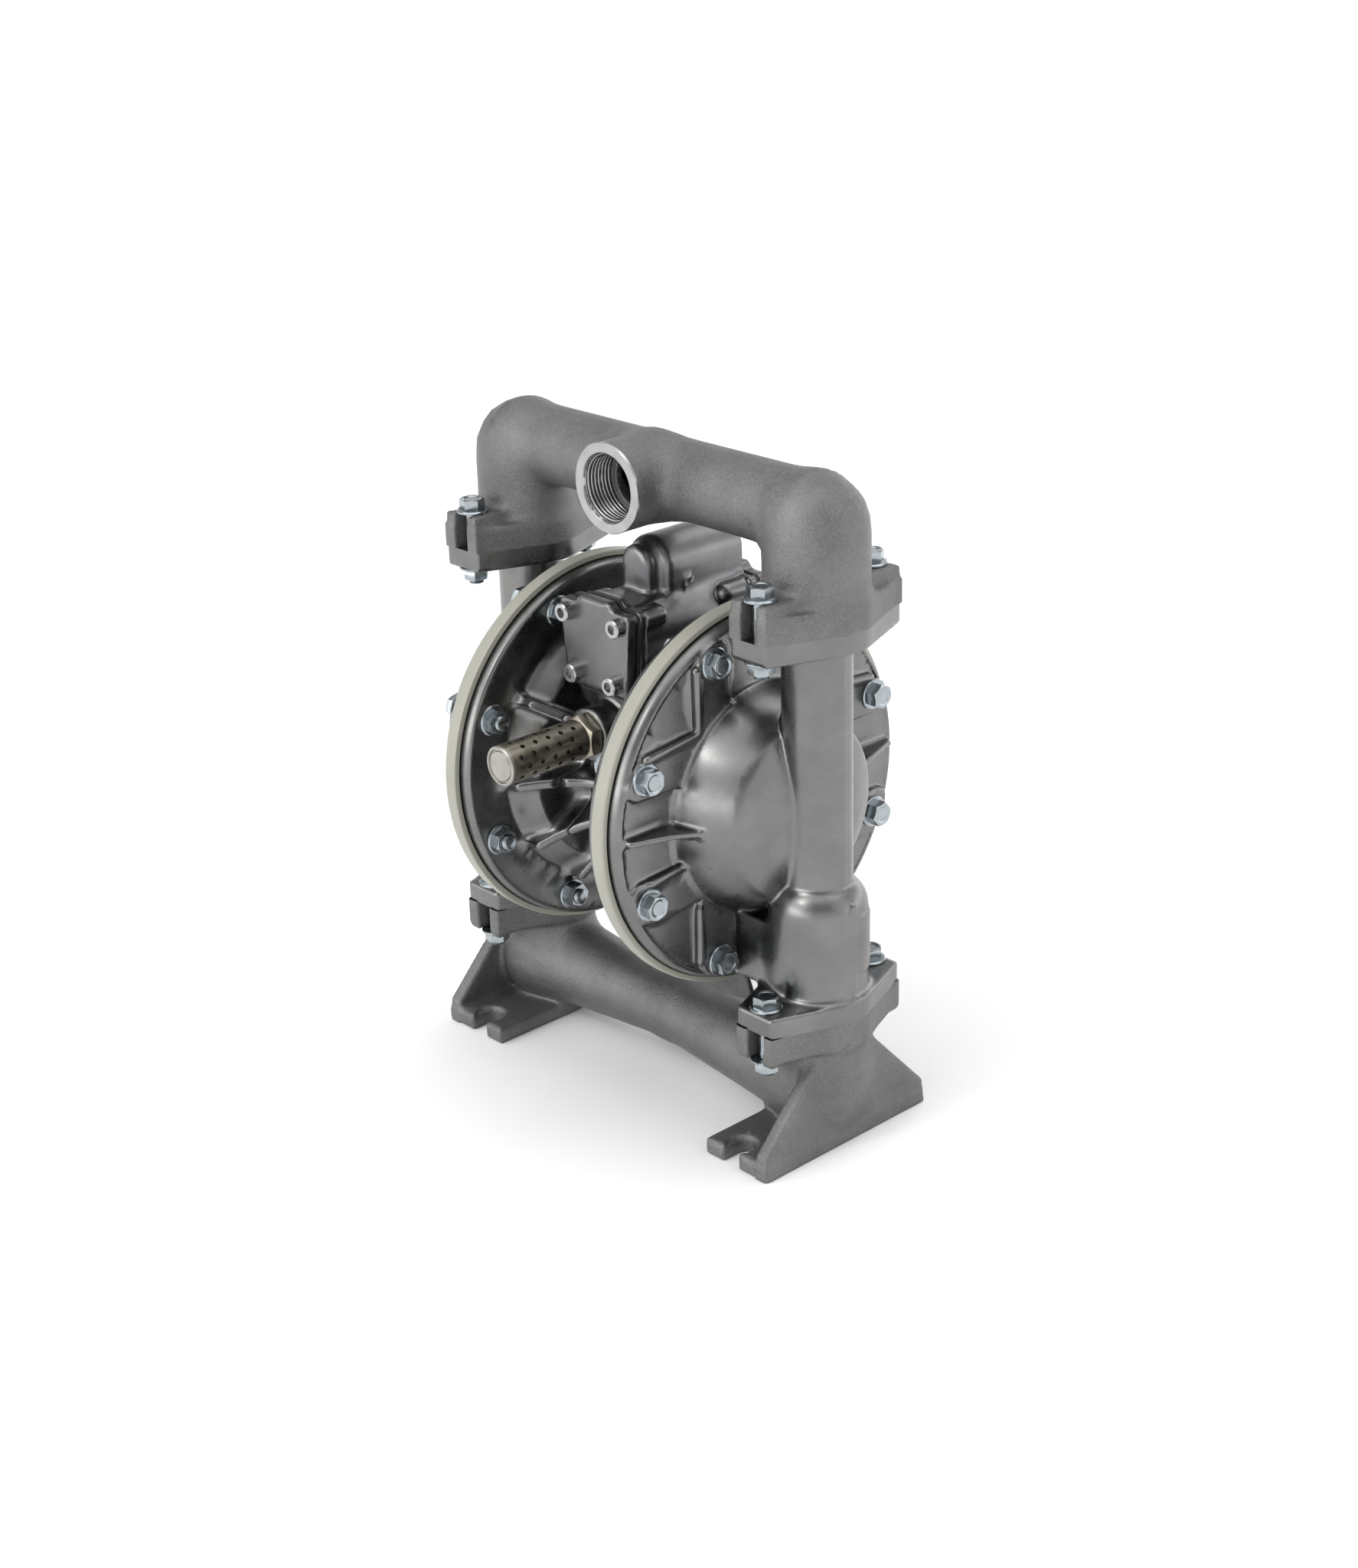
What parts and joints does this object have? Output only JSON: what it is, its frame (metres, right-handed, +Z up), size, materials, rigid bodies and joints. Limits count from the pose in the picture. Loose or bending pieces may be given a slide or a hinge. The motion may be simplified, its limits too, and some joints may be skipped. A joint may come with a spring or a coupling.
{
  "type": "diaphragm pump",
  "caption": "Air-operated double-diaphragm pump in cast aluminium, with bolted top and bottom manifolds, ball check valves, a central air valve and an exhaust silencer.",
  "frame": {"origin": "on the plane that the feet stand on, below the middle of the diaphragm rod, at the centre of the four foot slots", "axes": "+Z up, +X along the diaphragm rod towards the right chamber, -Y towards the silencer and the outlet port's mouth"},
  "size_m": [0.276, 0.22, 0.3633],
  "materials": {
    "sand_cast_aluminium": "grainy matte sand casting",
    "die_cast_aluminium": "smooth die casting, lightly polished",
    "machined_aluminium": "bright machined",
    "diaphragm_ivory": "smooth ivory moulding",
    "ptfe_white": "waxy white",
    "bronze": "machined",
    "nitrile_rubber": "matte black",
    "nickel_plated_muffler": "dull nickel plating with a warm tint",
    "porous_plastic": "porous, rough",
    "stainless_steel": "ground",
    "zinc_plated_steel": "bright zinc plating"
  },
  "bodies": {
    "housing": {"discharge_manifold": "sand_cast_aluminium", "suction_manifold": "sand_cast_aluminium", "left_liquid_chamber": "die_cast_aluminium", "right_liquid_chamber": "die_cast_aluminium", "left_air_chamber": "die_cast_aluminium", "right_air_chamber": "die_cast_aluminium", "centre_body": "die_cast_aluminium", "air_chamber_screws": "zinc_plated_steel", "left_diaphragm": "diaphragm_ivory", "right_diaphragm": "diaphragm_ivory", "rod_bushes": "bronze", "rod_seals": "nitrile_rubber", "pilot_bushes": "bronze", "valve_body": "die_cast_aluminium", "valve_base_gasket": "nitrile_rubber", "valve_base_screws": "zinc_plated_steel", "valve_sleeve": "stainless_steel", "front_valve_cap": "die_cast_aluminium", "rear_valve_cap": "die_cast_aluminium", "front_cap_gasket": "nitrile_rubber", "rear_cap_gasket": "nitrile_rubber", "valve_cap_screws": "zinc_plated_steel", "muffler_fitting": "nickel_plated_muffler", "muffler_tube": "nickel_plated_muffler", "muffler_core": "porous_plastic", "muffler_end_disc": "nickel_plated_muffler", "left_suction_seat": "stainless_steel", "right_suction_seat": "stainless_steel", "left_discharge_seat": "stainless_steel", "right_discharge_seat": "stainless_steel", "left_suction_cage": "machined_aluminium", "right_suction_cage": "machined_aluminium", "left_discharge_cage": "machined_aluminium", "right_discharge_cage": "machined_aluminium", "joint_o_rings": "ptfe_white", "discharge_flange_bolts": "zinc_plated_steel", "discharge_flange_nuts": "zinc_plated_steel", "suction_flange_bolts": "zinc_plated_steel", "suction_flange_nuts": "zinc_plated_steel", "left_chamber_bolts": "zinc_plated_steel", "left_chamber_nuts": "zinc_plated_steel", "right_chamber_bolts": "zinc_plated_steel", "right_chamber_nuts": "zinc_plated_steel"},
    "rod": {"centre_rod": "stainless_steel", "left_inner_disc": "machined_aluminium", "right_inner_disc": "machined_aluminium", "left_outer_disc": "machined_aluminium", "right_outer_disc": "machined_aluminium", "left_disc_bolt": "zinc_plated_steel", "right_disc_bolt": "zinc_plated_steel"},
    "spool": {"valve_spool": "machined_aluminium", "spool_rings": "nitrile_rubber"},
    "left_pilot": {"left_pilot_valve": "stainless_steel"},
    "right_pilot": {"right_pilot_valve": "stainless_steel"},
    "left_suction_ball": {"left_suction_ball": "ptfe_white"},
    "left_discharge_ball": {"left_discharge_ball": "ptfe_white"},
    "right_suction_ball": {"right_suction_ball": "ptfe_white"},
    "right_discharge_ball": {"right_discharge_ball": "ptfe_white"}
  },
  "joints": [
    {"name": "rod_slide", "type": "slide", "parent": "housing", "child": "rod", "axis": [1, 0, 0], "range_m": [-0.009, 0.009], "deforming": ["left_diaphragm", "right_diaphragm"]},
    {"name": "spool_slide", "type": "slide", "parent": "housing", "child": "spool", "axis": [0, 1, 0], "range_m": [-0.005, 0.005]},
    {"name": "left_pilot_slide", "type": "slide", "parent": "housing", "child": "left_pilot", "axis": [1, 0, 0], "range_m": [0, 0.003], "stiffness_N_per_m": 300},
    {"name": "right_pilot_slide", "type": "slide", "parent": "housing", "child": "right_pilot", "axis": [-1, 0, 0], "range_m": [0, 0.003], "stiffness_N_per_m": 300},
    {"name": "left_suction_lift", "type": "slide", "parent": "housing", "child": "left_suction_ball", "axis": [0, 0, 1], "range_m": [0, 0.008]},
    {"name": "left_discharge_lift", "type": "slide", "parent": "housing", "child": "left_discharge_ball", "axis": [0, 0, 1], "range_m": [0, 0.008]},
    {"name": "right_suction_lift", "type": "slide", "parent": "housing", "child": "right_suction_ball", "axis": [0, 0, 1], "range_m": [0, 0.008]},
    {"name": "right_discharge_lift", "type": "slide", "parent": "housing", "child": "right_discharge_ball", "axis": [0, 0, 1], "range_m": [0, 0.008]}
  ]
}
